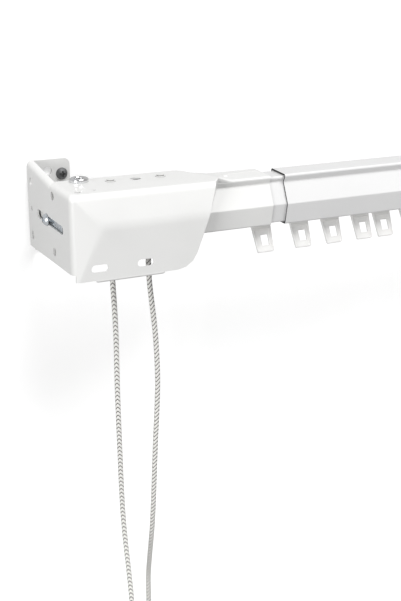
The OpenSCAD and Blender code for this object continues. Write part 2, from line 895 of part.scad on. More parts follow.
// Carrier: a head hooked over the rail's lip and a leaning tail with a hook eye
head_h = 3.6;
head_narrow = 0.7;
leg_h = 1.8;
knee_drop = 1.2;
tail_root = 1;
tail_r = 0.9;
eye_shift = 0.9;
eye_down = 8.9;
dish_depth = 0.5;
dish_rim = 0.9;
dish_down = 3;
saddle_low = lip_top + carrier_gap;
head_top = saddle_low + head_h;
leg_back = lip_y - 2 * rail_t - rail_gap - carrier_gap;
tail_front = lip_y + carrier_gap;
tail_knee = rail_floor - knee_drop;

module carrier_head(w) {
    along_x(-w / 2, w / 2)
        polygon([
            [leg_back - carrier_t, saddle_low - leg_h], [leg_back, saddle_low - leg_h],
            [leg_back, saddle_low], [tail_front, saddle_low], [tail_front, tail_knee],
            [tail_front + carrier_t, tail_knee], [tail_front + carrier_t, head_top],
            [leg_back - carrier_t, head_top]
        ]);
}

function tail_outline(inset, root) = [
    [-tail_w / 2 + inset, root], [-tail_w / 2 + tail_taper + inset, -tail_len + inset],
    [tail_w / 2 - tail_taper - inset, -tail_len + inset], [tail_w / 2 - inset, root]
];

module carrier_tail() {
    translate([0, tail_front, tail_knee])
        rotate([-tail_lean, 0, 0])
            difference() {
                translate([0, carrier_t, 0])
                    rotate([90, 0, 0])
                        linear_extrude(carrier_t) polygon(rounded(tail_outline(0, tail_root), tail_r));
                translate([0, dish_depth, 0])
                    rotate([90, 0, 0])
                        linear_extrude(2 * dish_depth)
                            polygon(rounded(tail_outline(dish_rim, -dish_down), tail_r));
                translate([eye_shift, carrier_t / 2, -eye_down])
                    cube([eye_w, 4 * carrier_t, eye_h], center = true);
            }
}

module carrier(x) {
    color("ivory") translate([end_x + x, 0, 0]) {
        carrier_head(tail_w - 2 * head_narrow);
        carrier_tail();
    }
}

// Master carrier: a long head with two tails and a saddle that grips one run of the cord
saddle_len = 12;
saddle_half = 2.2;
saddle_gap = 0.35;

module master(x, run_z) {
    top = run_z + saddle_half;
    color("ivory") translate([end_x + x, 0, 0]) {
        carrier_head(master_len);
        for (s = [-1, 1])
            translate([s * (master_len - tail_w - 2 * tail_root) / 2, 0, 0]) carrier_tail();
        difference() {
            union() {
                translate([-saddle_len / 2, tail_front, tail_knee])
                    cube([saddle_len, carrier_t, top - tail_knee]);
                translate([-saddle_len / 2, -cord_y, run_z - saddle_half])
                    cube([saddle_len, tail_front + carrier_t / 2 + cord_y, 2 * saddle_half]);
            }
            translate([0, -cord_y, run_z])
                rotate([0, 90, 0]) cylinder(d = cord_d + 2 * saddle_gap, h = 2 * saddle_len, center = true);
        }
    }
}

module master_carrier_left() {
    master((track_len - master_pitch) / 2, run_low);
}

module master_carrier_right() {
    master((track_len + master_pitch) / 2, run_high);
}

// A round tube swept along points, with rings that keep level with the path
function tangent(p, i) =
    unit(p[min(i + 1, len(p) - 1)] - p[max(i - 1, 0)]);
function ring(c, t, guide, r, sides) =
    let (u = unit(cross(guide, t)), v = cross(t, u))
    [for (k = [0:sides - 1]) c + r * (u * cos(360 * k / sides) + v * sin(360 * k / sides))];

module tube(p, r, sides, guide) {
    points = [for (i = [0:len(p) - 1]) each ring(p[i], tangent(p, i), guide, r, sides)];
    last = len(points) - sides;
    walls = [for (i = [0:len(p) - 2], k = [0:sides - 1])
        let (a = i * sides + k, b = i * sides + (k + 1) % sides)
        each [[a, a + sides, b], [b, a + sides, b + sides]]];
    caps = [for (k = [1:sides - 2]) each [[0, k, k + 1], [last, last + k + 1, last + k]]];
    polyhedron(points, concat(walls, caps));
}

function arc_xz(c, r, from, to, steps) = [
    for (k = [0:steps])
        let (a = from + (to - from) * k / steps)
        [c[0] + r * cos(a), -cord_y, c[1] + r * sin(a)]
];

// The cord inside the track: up round one pulley, along, round the return pulley and back
module track_cord() {
    far = track_len - return_x;
    route = concat(
        [[drop_left_x, -cord_y, cord_start_z]],
        arc_xz(pulley_a, pulley_r, 180, 90, 8),
        arc_xz([far, return_z], return_r, 90, -90, 12),
        arc_xz(pulley_b, pulley_r, 90, 180, 8),
        [[drop_right_x, -cord_y, cord_start_z]]
    );
    color("gainsboro") at_left() tube(route, cord_d / 2, 8, [0, 1, 0]);
}

module draw_cord_left() {
    color("gainsboro") at_left() tube(left_route, cord_d / 2, 8, [0, 1, 0]);
}

module draw_cord_right() {
    color("gainsboro") at_left() tube(right_route, cord_d / 2, 8, [0, 1, 0]);
}

// Place on a loop of fold radius r at phase k of 24, down the left run first
function waist(z) = 1 - (1 - hank_waist) * pow(cos(180 * z / hank_run), 2);
function loop_point(k, r) =
    let (part = floor(k / fold_rings), s = (k % fold_rings) / fold_rings)
    part == 0 ? let (z = hank_run * (0.5 - s)) [-r * waist(z), z] :
    part == 1 ? [-r * cos(180 * s), -hank_run / 2 - r * sin(180 * s)] :
    part == 2 ? let (z = hank_run * (s - 0.5)) [r * waist(z), z] :
                [r * cos(180 * s), hank_run / 2 + r * sin(180 * s)];

// Fold radius after n steps of a layer: even layers wind outwards, odd ones inwards.
// A layer starts with the run on which the cord climbs from the layer before.
function wound_r(layer, n) =
    layer == 0 ? hank_r + ring_step * (n - fold_rings) :
    layer % 2 == 0 ? hank_r + ring_step * max(0, n - fold_rings) :
                     hank_far_r - ring_step * max(0, n - fold_rings);

// Share of one layer that the cord stands in front of or behind its layer's plane
function off_layer(layer, n) =
    layer == 0 ? -max(0, 1 - n / lead_rings) :
    layer == layers - 1 && n > last_steps - lead_rings ? (n - last_steps + lead_rings) / lead_rings :
    min(0, n / fold_rings - 1);

function layer_y(layer) = -cord_y + hank_layer * (layer - (layers - 1) / 2);

// The whole hank: a straight lead in, four layers of loops and a straight lead out
hank_points = concat(
    [for (z = [hank_top_z, hank_top_z - cord_d, hank_z + hank_run / 2 + lead_clear])
        [hank_x - hank_near_r, -cord_y - strand_y, z]],
    [for (layer = [0:layers - 1], n = [0:layer == layers - 1 ? last_steps : rings * hank_loops - 1])
        let (p = loop_point(n % rings, wound_r(layer, n)))
        [hank_x + p[0], layer_y(layer) + hank_layer * off_layer(layer, n), hank_z + p[1]]],
    [for (z = [hank_z + hank_run / 2 + lead_clear, hank_top_z - cord_d, hank_top_z])
        [hank_x + hank_end_r, -cord_y + strand_y, z]]
);

// Least clear gap between stretches of the hank that lie a half loop or more apart along it
hank_gap = min([for (i = [0:len(hank_points) - 1], j = [i + rings / 2:1:len(hank_points) - 1])
    norm(hank_points[i] - hank_points[j])]) - cord_d;
echo(hank_gap = hank_gap);

module cord_hank() {
    color("gainsboro") at_left() tube(hank_points, cord_d / 2, 6, [0, 1, 0]);
}

// Band round the hank's waist
tie_h = 6;
tie_t = 1;
tie_gap = 0.5;
tie_r = 1.5;

module cord_tie() {
    half_x = hank_far_r * hank_waist + cord_d / 2 + tie_gap;
    half_y = hank_layer * (layers - 1) / 2 + cord_d / 2 + tie_gap;
    outer = [[-half_x - tie_t, -half_y - tie_t], [half_x + tie_t, -half_y - tie_t],
             [half_x + tie_t, half_y + tie_t], [-half_x - tie_t, half_y + tie_t]];
    inner = [[-half_x, -half_y], [half_x, -half_y], [half_x, half_y], [-half_x, half_y]];
    color("white") at_left()
        translate([hank_x, -cord_y, hank_z - tie_h / 2])
            linear_extrude(tie_h)
                difference() {
                    polygon(rounded(outer, tie_r + tie_t));
                    polygon(rounded(inner, tie_r));
                }
}

bracket_left();
wall_screws_left();
clamp_strip_left();
clamp_screw_left();
clamp_nut_left();
housing_left();
inner_rail();
eyelet_left();
pulley_block_left();
block_rivets_left();
pulley_axles_left();
draw_pulley_a();
draw_pulley_b();
track_cord();
draw_cord_left();
draw_cord_right();
cord_hank();
cord_tie();
outer_rail();
housing_right();
eyelet_right();
pulley_block_right();
block_rivets_right();
pulley_axle_right();
return_pulley();
bracket_right();
wall_screws_right();
clamp_strip_right();
clamp_screw_right();
clamp_nut_right();
master_carrier_left();
master_carrier_right();
for (i = [1:len(left_stations)])
    carrier(left_stations[i - 1]);
for (i = [1:len(right_stations)])
    carrier(track_len - right_stations[i - 1]);
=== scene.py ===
"""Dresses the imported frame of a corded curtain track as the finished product.

Metres: +X runs along the rail, the room is on -Y, the wall on +Y and +Z is up.
The origin is the centre of the left bracket's wall face.
"""

import json
import logging
import math
from dataclasses import dataclass, field
from enum import Enum
from typing import Any, Callable, Optional, Sequence, Union

import bmesh
import bpy
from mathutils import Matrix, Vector
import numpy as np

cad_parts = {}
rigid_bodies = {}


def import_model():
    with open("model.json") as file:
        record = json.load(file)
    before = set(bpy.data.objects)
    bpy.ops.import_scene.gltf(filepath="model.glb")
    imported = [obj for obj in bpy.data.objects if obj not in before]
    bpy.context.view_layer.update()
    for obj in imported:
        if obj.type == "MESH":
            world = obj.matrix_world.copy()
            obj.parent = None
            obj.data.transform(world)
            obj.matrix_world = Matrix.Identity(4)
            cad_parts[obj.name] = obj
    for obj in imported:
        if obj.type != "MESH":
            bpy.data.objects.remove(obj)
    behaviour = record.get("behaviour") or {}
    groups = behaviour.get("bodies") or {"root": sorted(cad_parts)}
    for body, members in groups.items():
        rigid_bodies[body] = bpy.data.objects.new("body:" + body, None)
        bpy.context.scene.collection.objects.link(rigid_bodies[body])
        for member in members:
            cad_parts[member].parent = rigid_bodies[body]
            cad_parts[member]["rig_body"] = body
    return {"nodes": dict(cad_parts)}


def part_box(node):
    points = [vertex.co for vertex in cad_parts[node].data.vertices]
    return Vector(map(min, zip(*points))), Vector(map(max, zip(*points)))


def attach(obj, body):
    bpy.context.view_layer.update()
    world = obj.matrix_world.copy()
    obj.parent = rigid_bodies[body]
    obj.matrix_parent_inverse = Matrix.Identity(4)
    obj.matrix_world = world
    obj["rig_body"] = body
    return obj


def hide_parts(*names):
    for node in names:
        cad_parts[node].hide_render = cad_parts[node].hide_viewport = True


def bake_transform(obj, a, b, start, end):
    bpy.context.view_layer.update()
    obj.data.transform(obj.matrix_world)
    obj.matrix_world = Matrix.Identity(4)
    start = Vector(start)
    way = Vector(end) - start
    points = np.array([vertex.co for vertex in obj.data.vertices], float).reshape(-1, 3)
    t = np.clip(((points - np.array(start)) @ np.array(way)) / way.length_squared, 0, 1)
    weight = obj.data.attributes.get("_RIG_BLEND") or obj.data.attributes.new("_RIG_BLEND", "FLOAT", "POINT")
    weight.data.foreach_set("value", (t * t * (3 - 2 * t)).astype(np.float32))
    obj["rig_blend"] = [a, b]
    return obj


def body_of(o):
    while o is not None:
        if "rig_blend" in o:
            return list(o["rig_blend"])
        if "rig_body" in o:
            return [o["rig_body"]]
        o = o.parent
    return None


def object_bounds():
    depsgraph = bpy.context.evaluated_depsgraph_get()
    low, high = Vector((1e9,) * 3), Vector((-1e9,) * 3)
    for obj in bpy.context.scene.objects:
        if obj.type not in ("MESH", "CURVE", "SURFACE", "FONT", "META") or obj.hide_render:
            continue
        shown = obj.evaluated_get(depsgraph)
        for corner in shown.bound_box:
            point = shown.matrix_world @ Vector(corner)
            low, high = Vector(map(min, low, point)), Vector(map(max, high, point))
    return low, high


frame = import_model()
CAD_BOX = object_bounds()

LOG = logging.getLogger("curtain_track")
Colour = tuple[float, float, float]
Place = tuple[float, float, float]
Value = Union[float, "Signal"]
WHITE: Colour = (1.0, 1.0, 1.0)


class Slot(Enum):
    """The record's material slots, by what they finish."""

    HOUSING = "white_enamel"
    RAIL = "rail_enamel"
    RIVET = "rivet_enamel"
    WALL_SCREW = "grey_screw"
    ZINC = "bright_zinc"
    CHROME = "bright_chrome"
    PULLEY = "pulley_plastic"
    CARRIER = "carrier_plastic"
    CORD = "braided_cord"
    TIE = "tie_plastic"


class End(Enum):
    """The two ends of the track, as the nodes name them."""

    LEFT = "left"
    RIGHT = "right"


class Signal:
    """A number on a shader socket, which Python arithmetic turns into Math nodes."""

    def __init__(self, nodes: "NodeTree", socket: bpy.types.NodeSocket) -> None:
        """Wraps one output socket of a node tree."""
        self.nodes = nodes
        self.socket = socket

    def math(self, operation: str, *values: Value) -> "Signal":
        """Adds a Math node.

        Args:
            operation: The Math node's operation.
            values: What its sockets take, in order.

        Returns:
            The node's result.
        """
        node = self.nodes.add("ShaderNodeMath", {"operation": operation}, dict(enumerate(values)))
        return Signal(self.nodes, node.outputs[0])

    def __add__(self, other: Value) -> "Signal":
        """The sum."""
        return self.math("ADD", self, other)

    def __sub__(self, other: Value) -> "Signal":
        """The difference."""
        return self.math("SUBTRACT", self, other)

    def __rsub__(self, other: Value) -> "Signal":
        """The difference, the other way round."""
        return self.math("SUBTRACT", other, self)

    def __mul__(self, other: Value) -> "Signal":
        """The product."""
        return self.math("MULTIPLY", self, other)

    __radd__ = __add__
    __rmul__ = __mul__

    def __abs__(self) -> "Signal":
        """The size without its sign."""
        return self.math("ABSOLUTE", self)

    def floor(self) -> "Signal":
        """The whole part."""
        return self.math("FLOOR", self)

    def fraction(self) -> "Signal":
        """What is left over the whole part."""
        return self.math("FRACT", self)

    def sine(self) -> "Signal":
        """The sine of an angle in radians."""
        return self.math("SINE", self)

    def most(self, other: Value) -> "Signal":
        """The larger of the two."""
        return self.math("MAXIMUM", self, other)

    def least(self, other: Value) -> "Signal":
        """The smaller of the two."""
        return self.math("MINIMUM", self, other)

    def rise(self, low: float, high: float) -> "Signal":
        """A smooth rise from 0 to 1.

        Args:
            low: Where the rise starts.
            high: Where it has reached 1.

        Returns:
            The eased share.
        """
        node = self.nodes.add(
            "ShaderNodeMapRange",
            {"interpolation_type": "SMOOTHSTEP"},
            {"Value": self, "From Min": low, "From Max": high},
        )
        return Signal(self.nodes, node.outputs["Result"])


class NodeTree:
    """A node tree that starts empty."""

    def __init__(self, tree: bpy.types.NodeTree) -> None:
        """Takes up a node tree and clears it."""
        self.tree = tree
        self.tree.nodes.clear()

    def add(
        self, kind: str, settings: Optional[dict] = None, inputs: Optional[dict] = None
    ) -> bpy.types.Node:
        """Adds a node.

        Args:
            kind: The node's type.
            settings: Its settings, which are set first.
            inputs: A value, a signal, a socket or a node for each input socket.

        Returns:
            The node.
        """
        node = self.tree.nodes.new(kind)
        for key, value in (settings or {}).items():
            setattr(node, key, value)
        for key, value in (inputs or {}).items():
            self.feed(node.inputs[key], value)
        return node

    def feed(self, socket: bpy.types.NodeSocket, value: Any) -> None:
        """Links an input socket, or sets its own value.

        Args:
            socket: The input socket.
            value: A signal, socket or node to link, or a number, vector or colour to set.
        """
        if isinstance(value, Signal):
            self.tree.links.new(value.socket, socket)
        elif isinstance(value, bpy.types.Node):
            self.tree.links.new(value.outputs[0], socket)
        elif isinstance(value, bpy.types.NodeSocket):
            self.tree.links.new(value, socket)
        elif isinstance(value, tuple) and len(value) == 3 and socket.type == "RGBA":
            socket.default_value = (*value, 1)
        else:
            socket.default_value = value


class Shader(NodeTree):
    """The node tree of one material, with one Principled surface."""

    def __init__(self, name: str) -> None:
        """Starts a material with a surface and an output.

        Args:
            name: The material's name.
        """
        self.material = bpy.data.materials.new(name)
        self.material.use_nodes = True
        super().__init__(self.material.node_tree)
        self.surface = self.add("ShaderNodeBsdfPrincipled")
        self.output = self.add("ShaderNodeOutputMaterial", inputs={"Surface": self.surface})

    def coat(self, **values: Any) -> None:
        """Feeds the surface's sockets.

        Args:
            values: What each socket takes, by its name in lower case with underscores.
        """
        for key, value in values.items():
            self.feed(self.surface.inputs[key.replace("_", " ").title()], value)

    def place(self, output: str = "Object") -> bpy.types.NodeSocket:
        """A texture coordinate of the piece."""
        return self.add("ShaderNodeTexCoord").outputs[output]

    def axes(self, socket: bpy.types.NodeSocket) -> tuple[Signal, Signal, Signal]:
        """The three parts of a vector."""
        node = self.add("ShaderNodeSeparateXYZ", inputs={0: socket})
        return tuple(Signal(self, out) for out in node.outputs)

    def stretched(self, scale: Place) -> bpy.types.NodeSocket:
        """Object coordinates scaled by their own factor on each axis."""
        node = self.add("ShaderNodeMapping", inputs={"Vector": self.place(), "Scale": scale})
        return node.outputs[0]

    def noise(self, size: float, detail: float = 2, where: Any = None) -> Signal:
        """Soft random grain.

        Args:
            size: The size of its features in metres.
            detail: How many finer layers it has.
            where: The coordinates, or the object's own.

        Returns:
            The grain, from 0 to 1.
        """
        node = self.add(
            "ShaderNodeTexNoise",
            inputs={"Vector": where or self.place(), "Scale": 1 / size, "Detail": detail},
        )
        return Signal(self, node.outputs[0])

    def blend(self, low: Any, high: Any, share: Value) -> bpy.types.NodeSocket:
        """Mixes two colours by a share from 0 to 1."""
        node = self.add("ShaderNodeMix", {"data_type": "RGBA"}, {0: share, 6: low, 7: high})
        return node.outputs[2]

    def bump(self, height: Signal, depth: float, strength: float = 1.0) -> bpy.types.NodeSocket:
        """Turns a height from 0 to 1 into a normal, depth metres deep."""
        values = {"Height": height, "Distance": depth, "Strength": strength}
        return self.add("ShaderNodeBump", inputs=values).outputs[0]


@dataclass(frozen=True)
class Enamel:
    """Baked white enamel on sheet steel, with a faint orange peel and a slow drift of tone."""

    name: str
    colour: Colour
    drift: Colour
    roughness: float
    spread: float = 0.12
    coat_weight: float = 0.2
    coat_roughness: float = 0.12
    peel_size: float = 0.0011
    peel_depth: float = 0.000012
    drift_size: float = 0.04
    drift_start: float = 0.35
    drift_full: float = 0.75

    def paint(self, shader: Shader, slow: Signal) -> bpy.types.NodeSocket:
        """The enamel's colour, which drifts slowly over the sheet."""
        share = slow.rise(self.drift_start, self.drift_full)
        return shader.blend(self.colour, self.drift, share)

    def base(self) -> Shader:
        """Mixes the enamel without any special edges.

        Returns:
            Its shader.
        """
        shader = Shader(self.name)
        slow = shader.noise(self.drift_size)
        shader.coat(
            base_color=self.paint(shader, slow),
            roughness=slow * self.spread + (self.roughness - self.spread / 2),
            coat_weight=self.coat_weight,
            coat_roughness=self.coat_roughness,
            normal=shader.bump(shader.noise(self.peel_size, 1), self.peel_depth),
        )
        return shader

    def material(self) -> bpy.types.Material:
        """The finished material."""
        return self.base().material


@dataclass(frozen=True)
class RivetEnamel(Enamel):
    """Enamel on a domed rivet, with a dark line of painted shade where the rim leans down to the sheet."""

    # Painted shade: dark grey laid on the rim of the dome, darker the further the surface leans from
    # straight up.
    rim_shade: Colour = (0.3, 0.3, 0.29)
    steep: float = 0.8
    level: float = 0.96

    def material(self) -> bpy.types.Material:
        """Adds the painted shade on the rim to the enamel.

        Returns:
            The finished material.
        """
        shader = self.base()
        # The share of painted shade grows as the normal turns away from straight up.
        rim_shade_share = 1 - shader.axes(shader.place("Normal"))[2].rise(self.steep, self.level)
        paint = shader.surface.inputs["Base Color"].links[0].from_socket
        shader.coat(base_color=shader.blend(paint, self.rim_shade, rim_shade_share))
        return shader.material


@dataclass(frozen=True)
class RolledEnamel(Enamel):
    """Enamel on a rolled rail, with fine lengthwise lines and near-black cut ends: bare metal, darkened
    further with painted shade of the narrow space between the rails.
    """

    spread: float = 0.1
    coat_weight: float = 0.3
    coat_roughness: float = 0.1
    line_size: float = 0.0006
    line_length: float = 0.12
    # Partly painted shade: the cut ends are near black, for bare metal and for the shade in the narrow space
    # between the rails.
    cut_steel_and_shade: Colour = (0.012, 0.012, 0.014)
    cut_start: float = 0.6
    cut_full: float = 0.9
    cut_roughness: float = 0.3

    def material(self) -> bpy.types.Material:
        """Mixes the enamel with its lines and cut ends.

        Returns:
            The finished material.
        """
        shader = Shader(self.name)
        fine = 1 / self.line_size
        lines = shader.noise(1, 2, shader.stretched((1 / self.line_length, fine, fine)))
        slow = shader.noise(self.drift_size)
        # Faces that point along the rail are the cut ends, which get the near-black colour, partly painted
        # shade.
        endwise = abs(shader.axes(shader.place("Normal"))[0])
        cut = endwise.rise(self.cut_start, self.cut_full)
        rolled = lines * self.spread + (self.roughness - self.spread / 2)
        shader.coat(
            base_color=shader.blend(self.paint(shader, slow), self.cut_steel_and_shade, cut),
            roughness=rolled + cut * self.cut_roughness,
            coat_weight=self.coat_weight - cut * self.coat_weight,
            coat_roughness=self.coat_roughness,
            normal=shader.bump(lines, self.peel_depth),
        )
        return shader.material


@dataclass(frozen=True)
class Plating:
    """A plated metal with fine crystals, a slow tint and light handling marks."""

    name: str
    colour: Colour
    tint: Colour
    roughness: float
    polish: float = 0.1
    crystal: float = 0.0012
    crystal_spread: float = 0.12
    tint_crystals: int = 6
    tint_start: float = 0.3
    tint_full: float = 0.7
    mark_size: float = 0.0004
    mark_stretch: Place = (1.0, 1.0, 6.0)
    mark_spread: float = 0.1
    mark_depth: float = 0.00001

    def material(self) -> bpy.types.Material:
        """Mixes the plating.

        Returns:
            The finished material.
        """
        shader = Shader(self.name)
        cells = shader.add(
            "ShaderNodeTexVoronoi", inputs={"Vector": shader.place(), "Scale": 1 / self.crystal}
        )
        grain = shader.axes(cells.outputs["Color"])[0]
        slow = shader.noise(self.crystal * self.tint_crystals, 3)
        marks = shader.noise(self.mark_size, 2, shader.stretched(self.mark_stretch))
        rough = grain * self.crystal_spread + marks * self.mark_spread
        tinted = slow.rise(self.tint_start, self.tint_full)
        shader.coat(
            base_color=shader.blend(self.colour, self.tint, tinted),
            metallic=1.0,
            roughness=rough + (self.roughness - self.polish),
            normal=shader.bump(marks, self.mark_depth),
        )
        return shader.material


@dataclass(frozen=True)
class Moulding:
    """Moulded plastic: a milky body, a faint flow pattern and fine mould texture."""

    name: str
    colour: Colour
    shade: Colour
    roughness: float
    milk: float
    milk_radius: Place = (1.0, 1.0, 1.0)
    milk_depth: float = 0.004
    flow_size: float = 0.006
    flow_start: float = 0.3
    flow_full: float = 0.8
    flow_spread: float = 0.12
    texture: float = 0.0005
    texture_spread: float = 0.08
    texture_depth: float = 0.000012

    def material(self) -> bpy.types.Material:
        """Mixes the plastic.

        Returns:
            The finished material.
        """
        shader = Shader(self.name)
        flow = shader.noise(self.flow_size, 3)
        fine = shader.noise(self.texture, 2)
        rough = flow * self.flow_spread + fine * self.texture_spread
        mean = (self.flow_spread + self.texture_spread) / 2
        shaded = flow.rise(self.flow_start, self.flow_full)
        shader.coat(
            base_color=shader.blend(self.colour, self.shade, shaded),
            roughness=rough + (self.roughness - mean),
            subsurface_weight=self.milk,
            subsurface_radius=self.milk_radius,
            subsurface_scale=self.milk_depth,
            normal=shader.bump(fine, self.texture_depth),
        )
        return shader.material


@dataclass(frozen=True)
class BraidLay:
    """How a round braid lies: columns of slanted strands round the cord, laid in chevrons."""

    columns: int = 4
    pitch: float = 0.0024
    slant: float = 1.0
    crest: float = 1.6
    ridge: float = 0.85

    def height(self, around: float, along: float) -> float:
        """The strands' height at a place on the cord.

        Args:
            around: Share of a turn round the cord.
            along: Metres along the cord.

        Returns:
            0 in the gaps between strands and 1 on their backs.
        """
        column = math.floor(around * self.columns) % self.columns
        across = around * self.columns % 1
        side = 1 - 2 * (column % 2)
        phase = (along / self.pitch + side * self.slant * (across - 0.5)) % 1
        back = self.ridge + (1 - self.ridge) * math.sin(math.pi * across)
        return min(1.0, self.crest * math.sin(math.pi * phase)) * back

    def signal(self, shader: Shader) -> Signal:
        """The same height as a shader signal, from the cord's own UV map.

        Args:
            shader: The cord's shader.

        Returns:
            The height.
        """
        around, along, _ = shader.axes(shader.place("UV"))
        turns = around * self.columns
        across = turns.fraction()
        odd = (turns.floor() * 0.5).fraction() * 2
        phase = (along + (1 - odd * 2) * (across - 0.5) * self.slant).fraction()
        crest = (phase * math.pi).sine() * self.crest
        back = (across * math.pi).sine() * (1 - self.ridge) + self.ridge
        return crest.least(1.0) * back


@dataclass(frozen=True)
class Braid:
    """Braided cord: white strands with near-black painted shade in the gaps between them, and fine
    filaments.
    """

    name: str
    strand: Colour
    # Painted shade: near black laid in the gaps between the strands, where shade falls.
    gap_shade: Colour
    lay: BraidLay
    roughness: float = 0.85
    polish: float = 0.15
    sheen: float = 0.25
    fuzz_size: float = 0.00035
    fuzz_share: float = 0.25
    fuzz_lift: float = 0.3
    clean_start: float = 0.3
    clean_full: float = 0.85
    relief: float = 0.0002
    relief_strength: float = 0.6

    def material(self) -> bpy.types.Material:
        """Mixes the cord's finish.

        Returns:
            The finished material.
        """
        shader = Shader(self.name)
        height = self.lay.signal(shader)
        fuzz = shader.noise(self.fuzz_size, 3)
        frayed = height + (fuzz - 0.5) * self.fuzz_share
        # Where the height falls towards the gaps, the colour turns to the painted shade.
        clean = frayed.rise(self.clean_start, self.clean_full)
        lift = height + fuzz * self.fuzz_lift
        shader.coat(
            base_color=shader.blend(self.gap_shade, self.strand, clean),
            roughness=self.roughness - clean * self.polish,
            sheen_weight=self.sheen,
            normal=shader.bump(lift, self.relief, self.relief_strength),
        )
        return shader.material


@dataclass
class Palette:
    """The finishes of the whole track, one material for each slot."""

    lay: BraidLay = BraidLay()
    made: dict[Slot, bpy.types.Material] = field(default_factory=dict)

    def finishes(self) -> dict[Slot, Any]:
        """Chooses the finishes.

        Returns:
            What each slot is finished with.
        """
        return {
            Slot.HOUSING: Enamel("satin_enamel", (0.84, 0.84, 0.83), (0.81, 0.81, 0.80), 0.36),
            # The rail enamel paints its cut ends near black, partly as shade.
            Slot.RAIL: RolledEnamel("rolled_enamel", (0.78, 0.78, 0.78), (0.76, 0.76, 0.76), 0.34),
            # The rivet paint carries painted shade on the rims of the domes.
            Slot.RIVET: RivetEnamel("rivet_paint", (0.82, 0.82, 0.81), (0.78, 0.78, 0.77), 0.3),
            Slot.WALL_SCREW: Plating("dull_zinc", (0.24, 0.245, 0.25), (0.17, 0.172, 0.175), 0.62),
            Slot.ZINC: Plating("bright_zinc", (0.72, 0.76, 0.8), (0.64, 0.67, 0.69), 0.24),
            Slot.CHROME: Plating("bright_nickel", (0.76, 0.77, 0.79), (0.7, 0.7, 0.7), 0.14),
            # Near black, a colour taken from the dark hole in the housing's top: the pulleys and block are
            # dark plastic, and their darkness partly paints the shade inside that hole.
            Slot.PULLEY: Moulding("dark_acetal_and_hole_shade", (0.03, 0.031, 0.034), (0.045, 0.046, 0.05), 0.45, 0.0),
            Slot.CARRIER: Moulding(
                "milky_nylon", (0.75, 0.745, 0.73), (0.72, 0.715, 0.7), 0.38, 0.9
            ),
            # The cord's second colour is painted shade for the gaps between strands.
            Slot.CORD: Braid("braided_cord", (0.85, 0.84, 0.81), (0.06, 0.058, 0.054), self.lay),
            Slot.TIE: Moulding("soft_band", (0.83, 0.83, 0.82), (0.78, 0.78, 0.77), 0.55, 0.15),
        }

    def paint(self, obj: bpy.types.Object, slot: Slot) -> None:
        """Gives a piece the material of a slot, which is made when it is first asked for.

        Args:
            obj: The piece.
            slot: Its finish.
        """
        if slot not in self.made:
            self.made[slot] = self.finishes()[slot].material()
        obj.data.materials.clear()
        obj.data.materials.append(self.made[slot])


class Bench:
    """The modelling steps that the pieces share, done on one object at a time."""

    weld = 0.00002
    sliver = 0.000001
    flat_angle = math.radians(0.2)
    smooth_angle = math.radians(34)
    flat_weight = 50
    ease_angle = math.radians(40)
    ease_steps = 2

    @staticmethod
    def take(obj: bpy.types.Object) -> None:
        """Deselects everything and takes up one object.

        Args:
            obj: The object.
        """
        if bpy.context.object and bpy.context.object.mode != "OBJECT":
            bpy.ops.object.mode_set(mode="OBJECT")
        bpy.ops.object.select_all(action="DESELECT")
        obj.select_set(True)
        bpy.context.view_layer.objects.active = obj

    @staticmethod
    def finish_with(obj: bpy.types.Object, kind: str, **settings: Any) -> None:
        """Adds a modifier and applies it.

        Args:
            obj: The object.
            kind: The modifier's type.
            settings: Its settings.
        """
        Bench.take(obj)
        modifier = obj.modifiers.new(kind.title(), kind)
        for key, value in settings.items():
            setattr(modifier, key, value)
        bpy.ops.object.modifier_apply(modifier=modifier.name)

    @staticmethod
    def smooth(obj: bpy.types.Object) -> None:
        """Shades an object smooth, apart from its sharp edges, with its large faces left flat.

        Args:
            obj: The object.
        """
        Bench.take(obj)
        bpy.ops.object.shade_smooth_by_angle(angle=Bench.smooth_angle)
        settings = {"mode": "FACE_AREA", "weight": Bench.flat_weight, "keep_sharp": True}
        Bench.finish_with(obj, "WEIGHTED_NORMAL", **settings)

    @staticmethod
    def named(name: str) -> bpy.types.Object:
        """Names the object that was just made.

        Args:
            name: Its name.

        Returns:
            The object.
        """
        obj = bpy.context.object
        obj.name = name
        obj.data.name = name
        return obj

    @staticmethod
    def ease_edges(obj: bpy.types.Object, width: float) -> None:
        """Rounds an object's sharp edges and clears the slivers that this leaves.

        Args:
            obj: The object.
            width: How wide the eased edges are.
        """
        Bench.finish_with(
            obj,
            "BEVEL",
            width=width,
            segments=Bench.ease_steps,
            limit_method="ANGLE",
            angle_limit=Bench.ease_angle,
            use_clamp_overlap=True,
        )
        Bench.take(obj)
        bpy.ops.object.mode_set(mode="EDIT")
        bpy.ops.mesh.select_all(action="SELECT")
        bpy.ops.mesh.dissolve_degenerate(threshold=Bench.sliver)
        bpy.ops.object.mode_set(mode="OBJECT")

    @staticmethod
    def eased(node: str, width: float) -> bpy.types.Object:
        """A merged copy of a CAD node with its edges eased.

        Args:
            node: The CAD node's name.
            width: How wide the eased edges are, or 0 for a sheet that is rounded already.

        Returns:
            The copy, named for the node.
        """
        obj = bpy.data.objects.new(f"{node}_eased", frame["nodes"][node].data.copy())
        bpy.context.scene.collection.objects.link(obj)
        Bench.take(obj)
        bpy.ops.mesh.customdata_custom_splitnormals_clear()
        bpy.ops.object.mode_set(mode="EDIT")
        bpy.ops.mesh.select_all(action="SELECT")
        bpy.ops.mesh.remove_doubles(threshold=Bench.weld)
        bpy.ops.mesh.dissolve_limited(angle_limit=Bench.flat_angle)
        bpy.ops.object.mode_set(mode="OBJECT")
        if width:
            Bench.ease_edges(obj, width)
        Bench.smooth(obj)
        return obj


